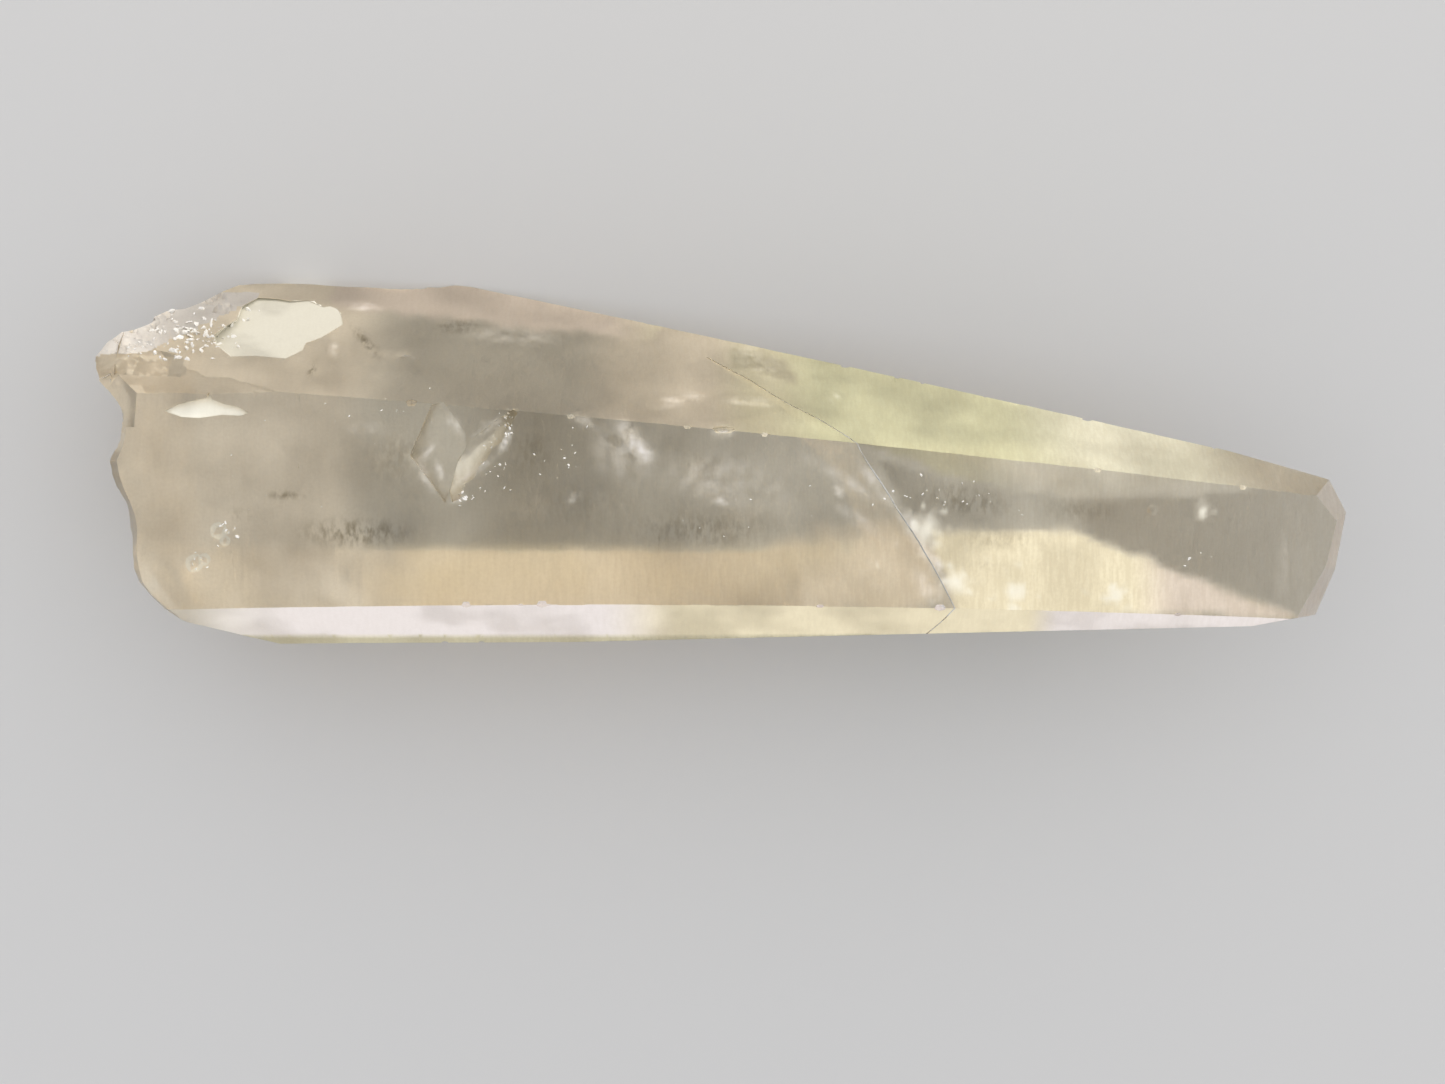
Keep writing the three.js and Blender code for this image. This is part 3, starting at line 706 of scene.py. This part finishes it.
def natural_quartz():
    """Natural quartz, as grown: glass-clear inside with a breath of honey, its skin etched in fine lines
    that give a silky haze, with milky veils and mottled clay right under it. In places its haze and colour
    are painted light and painted shade, and two of its clay marks are painted shade."""
    material, tree, shader = new_material("natural_quartz")
    haze, rough, veil, smudge = [
        node(tree, "ShaderNodeAttribute", out="Fac", attribute_name=name)
        for name in ("haze", "rough", "veil", "smudge")
    ]
    place = node(tree, "ShaderNodeTexCoord", out="Object")
    patterns = (CLOUDS, GRAIN, LINES, MILK_PATCHES, CLAY_SPOTS)
    clouds, grain, lines, patches, spots = [pattern(tree, place, *look) for look in patterns]

    product = dict(operation="MULTIPLY", use_clamp=True)
    product_and_more = dict(operation="MULTIPLY_ADD", use_clamp=True)
    milk = node(tree, "ShaderNodeMath", {0: veil, 1: patches}, **product)
    # The smudge marks: mostly clay, and in two places painted shade.
    clay = node(tree, "ShaderNodeMath", {0: smudge, 1: spots}, **product)
    strong = spread_out(tree, node(tree, "ShaderNodeSeparateXYZ", {0: place}), *LINES_GROW)
    grains = node(tree, "ShaderNodeMath", {0: grain, 1: GRAIN_SHARE}, **product)
    texture = node(tree, "ShaderNodeMath", {0: lines, 1: strong, 2: grains}, **product_and_more)

    shade = node(tree, "ShaderNodeMath", {0: texture, 1: spread_out(tree, rough, *TEXTURE_SHADE)}, **product)
    colour = node(tree, "ShaderNodeAttribute", out="Color", attribute_name="stain_and_light")
    for share, tone, blend in ((clay, CLAY_AND_SHADE, "MIX"), (milk, MILK, "MIX"), (shade, SHADE, "MULTIPLY")):
        layers = {0: share, 6: colour, 7: linear(tone)}
        colour = node(tree, "ShaderNodeMix", layers, out=2, data_type="RGBA", blend_type=blend)

    cloudy = node(tree, "ShaderNodeMath", {0: haze, 1: clouds}, **product)
    misty = node(tree, "ShaderNodeMath", {0: texture, 1: TEXTURE_HAZE, 2: cloudy}, **product_and_more)
    milky = node(tree, "ShaderNodeMath", {0: misty, 1: milk}, operation="ADD", use_clamp=True)
    clear = node(tree, "ShaderNodeMath", {0: MOST_CLEAR, 1: milky}, operation="SUBTRACT", use_clamp=True)
    relief = {"Height": texture, "Strength": RELIEF[0], "Distance": RELIEF[1]}
    honey = node(tree, "ShaderNodeVolumeAbsorption", {"Color": linear(HONEY_GLASS), "Density": HONEY_DEPTH})

    tree.links.new(colour, shader.inputs["Base Color"])
    tree.links.new(clear, shader.inputs["Transmission Weight"])
    tree.links.new(rough, shader.inputs["Roughness"])
    tree.links.new(node(tree, "ShaderNodeBump", relief), shader.inputs["Normal"])
    tree.links.new(honey, tree.nodes["Material Output"].inputs["Volume"])
    shader.inputs["IOR"].default_value = QUARTZ_IOR
    return material


# ---- inside the crystal ----

# Films of tiny bubbles, as drawn: middle in mm, length and width in mm, turns about X and Z in degrees,
# and how dense they are.
VEILS = [
    ((-9.9, 2.3, 24.4), (8, 3), (0, -53), 2.2),
    ((-9.3, 1.7, 24.8), (4, 2.4), (0, -60), 3),
    ((-11.5, 0.4, 24), (8, 6), (0, -20), 0.8),
    ((-15.1, 4.4, 24.5), (4.6, 1.8), (0, -25), 1.4),
    ((-4.9, 6.6, 20), (6, 2.6), (-60, 6), 1.2),
    ((3.3, 6.4, 19.4), (8, 2), (-60, -4), 2),
    ((0.2, 3, 25.2), (3.2, 1.3), (-20, -3), 2.4),
    ((13.3, -3.4, 24), (1.6, 2.4), (20, 10), 2),
    ((-2, -2, 18), (12, 8), (20, -25), 0.7),
    ((3, -6, 16), (14, 7), (12, 8), 0.6),
    ((-36, 1, 18), (16, 9), (12, 8), 0.6),
    ((-22, -5, 18), (9, 5), (10, 0), 0.5),
    ((22.8, -7.1, 24), (3.2, 2.4), (30, -50), 3),
    ((26.2, -14.2, 24), (2, 4), (25, 10), 3),
    ((32.7, -14.7, 20), (2.4, 2.6), (25, 10), 1.6),
    ((44, -15, 22), (2.4, 2.6), (25, 10), 1.4),
    ((-38, 12, 16), (10, 5), (-60, 10), 0.8),
    ((-58, 0, 20), (14, 16), (10, 0), 0.5),
]
# Films of clay, given in the same way.
SMUDGES = [
    ((-38, -7.6, 0.9), (10, 4.6), (0, 4), 1.4),
    ((-5, -8, 0.9), (14, 3), (0, 0), 1),
    ((-16, -3, 6), (14, 9), (0, 20), 0.7),
    ((28, -5, 5), (14, 3), (0, -4), 0.6),
]
FILM_NET = (24, 12)
FILM_WAVE = 0.3  # share of its smaller side that a film waves up and down
FILM_WAVELENGTH = 3  # mm
FILM_ROUGHNESS = 0.6
# Patches of the films, written as the skin's patterns are.
VEIL_PATCHES = ((1.6, 1.6), 5, (0.36, 0.7), (0, 1.2))
CLAY_PATCHES = ((0.6, 1.1), 5, (0.36, 0.7), (0, 1.1))


def add_film(name, material, middle, size, turns, density, seed):
    """One thin uneven film inside the crystal, densest in its middle."""
    bpy.ops.mesh.primitive_grid_add(x_subdivisions=FILM_NET[0], y_subdivisions=FILM_NET[1], size=1)
    piece = bpy.context.active_object
    piece.name = name
    length, width = size
    cover = piece.data.attributes.new("cover", "FLOAT", "POINT")
    for vertex in piece.data.vertices:
        away = 2 * vertex.co.xy.length
        cover.data[vertex.index].value = density * eased(ramp(away, 1, 0))
        at = Vector((vertex.co.x * length, vertex.co.y * width, seed)) / FILM_WAVELENGTH
        vertex.co.z = noise.noise(at) * min(size) * FILM_WAVE
    piece.scale = (length * MM, width * MM, MM)
    piece.rotation_euler = (math.radians(turns[0]), 0, math.radians(turns[1]))
    piece.location = (Vector(middle) + TO_FRAME) * MM
    select_only(piece)
    bpy.ops.object.transform_apply(location=True, rotation=True, scale=True)
    bpy.ops.object.shade_smooth()
    place_piece(piece, material)


def film(name, colour, patches):
    """A film whose cover comes and goes in patches."""
    material, tree, shader = new_material(name)
    cover = node(tree, "ShaderNodeAttribute", out="Fac", attribute_name="cover")
    torn = pattern(tree, node(tree, "ShaderNodeTexCoord", out="Object"), *patches)
    dense = node(tree, "ShaderNodeMath", {0: cover, 1: torn}, operation="MULTIPLY", use_clamp=True)
    tree.links.new(dense, shader.inputs["Alpha"])
    shader.inputs["Base Color"].default_value = linear(colour)
    shader.inputs["Roughness"].default_value = FILM_ROUGHNESS
    return material


def bubble_veil():
    """Veils of tiny bubbles, which scatter light in soft milky clouds."""
    return film("bubble_veil", "#F6F1EC", VEIL_PATCHES)


def clay_film():
    """Clay caught in the crystal: mottled brown-grey smudges."""
    return film("clay_film", "#5F5745", CLAY_PATCHES)


def add_films():
    """The veils and the smudges, each lying its own way."""
    for name, material, films in (("veil", bubble_veil(), VEILS), ("smudge", clay_film(), SMUDGES)):
        for number, (middle, size, turns, density) in enumerate(films):
            add_film(f"{name}_{number + 1}", material, middle, size, turns, density, number)


# Tiny chips and bubbles at the skin, as drawn: middle and spread in mm, how many, and their sizes in mm.
FLECKS = [
    ((-18.6, 0.2), (3, 4.5), 18, (0.08, 0.24)),
    ((-25, -1.5), (2.4, 2.6), 14, (0.1, 0.34)),
    ((-23.8, 3.5), (0.8, 1.3), 16, (0.12, 0.34)),
    ((-25.2, 1.6), (1.8, 1.8), 14, (0.07, 0.2)),
    ((-23.8, 5), (0.9, 0.4), 8, (0.12, 0.3)),
    ((-29, -4.3), (1.6, 0.7), 14, (0.14, 0.4)),
    ((24, -3.4), (7, 2.4), 26, (0.08, 0.26)),
    ((31, -4.5), (4, 2.4), 14, (0.08, 0.24)),
    ((8, -7), (14, 7), 16, (0.06, 0.18)),
    ((53, -10.6), (2, 1.6), 5, (0.14, 0.3)),
    ((-52, -5), (12, 10), 18, (0.06, 0.16)),
    ((-55.4, -8.1), (1.4, 2), 9, (0.14, 0.4)),
    ((-58.2, -11.2), (1.6, 0.8), 7, (0.14, 0.36)),
    ((-40, 6), (9, 4), 16, (0.08, 0.22)),
    ((-60, 14.4), (4.8, 2.4), 130, (0.12, 0.6)),
    ((-66, 13.2), (1.8, 1.4), 16, (0.1, 0.3)),
]
FLECK_SINK = (0, 0.12)  # mm that they lie under the skin
FLECK_SEED = 12
FLECK_WIDTH = (0.4, 1)  # as a share of its length
FLECK_HEIGHT = (0.15, 0.5)
FIRST_FLECK = 0.1 * MM  # radius of a first one in the crystal's middle, which the others join
FLECK_MOTTLE = 0.35 * MM
FLECK_TONES = ("#E8E4DA", "#FFFFFF")
FLECK_ROUGHNESS = 0.25


def add_flecks():
    """Tiny bright chips and bubbles, all one piece."""
    chance = random.Random(FLECK_SEED)
    skin = bpy.data.objects["quartz_crystal"]
    bpy.ops.object.select_all(action="DESELECT")
    middle = (0, 0, THICKNESS / 2 * MM)
    bpy.ops.mesh.primitive_ico_sphere_add(subdivisions=1, radius=FIRST_FLECK, location=middle)
    piece = bpy.context.active_object
    piece.name = "bright_flecks"
    bpy.ops.object.transform_apply(location=True, rotation=True, scale=True)
    begin_edit(piece)
    for (x, y), (wide, deep), count, sizes in FLECKS:
        for _ in range(count):
            above = Vector((chance.gauss(x, wide / 2), chance.gauss(y, deep / 2), 2 * THICKNESS))
            struck, place, _, _ = skin.ray_cast((above + TO_FRAME) * MM, (0, 0, -1))
            if not struck:
                continue
            bpy.ops.mesh.primitive_ico_sphere_add(
                subdivisions=1,
                radius=chance.uniform(*sizes) * MM,
                location=place - Vector((0, 0, chance.uniform(*FLECK_SINK) * MM)),
                rotation=[chance.uniform(0, math.pi) for _ in range(3)],
                scale=(1, chance.uniform(*FLECK_WIDTH), chance.uniform(*FLECK_HEIGHT)),
            )
    end_edit()
    place_piece(piece, bright_fleck())


def bright_fleck():
    """Fresh little breaks in quartz: bright white, with a glint."""
    material, tree, shader = new_material("fresh_break")
    place = node(tree, "ShaderNodeTexCoord", out="Object")
    mottle = node(tree, "ShaderNodeTexNoise", {"Vector": place, "Scale": 1 / FLECK_MOTTLE})
    dull, bright = [linear(tone) for tone in FLECK_TONES]
    tone = node(tree, "ShaderNodeMix", {0: mottle, 6: dull, 7: bright}, out=2, data_type="RGBA")
    tree.links.new(tone, shader.inputs["Base Color"])
    shader.inputs["Roughness"].default_value = FLECK_ROUGHNESS
    return material


# ---- building the scene ----


add_camera()
add_floor()
add_studio()
add_crystal()
add_films()
add_flecks()
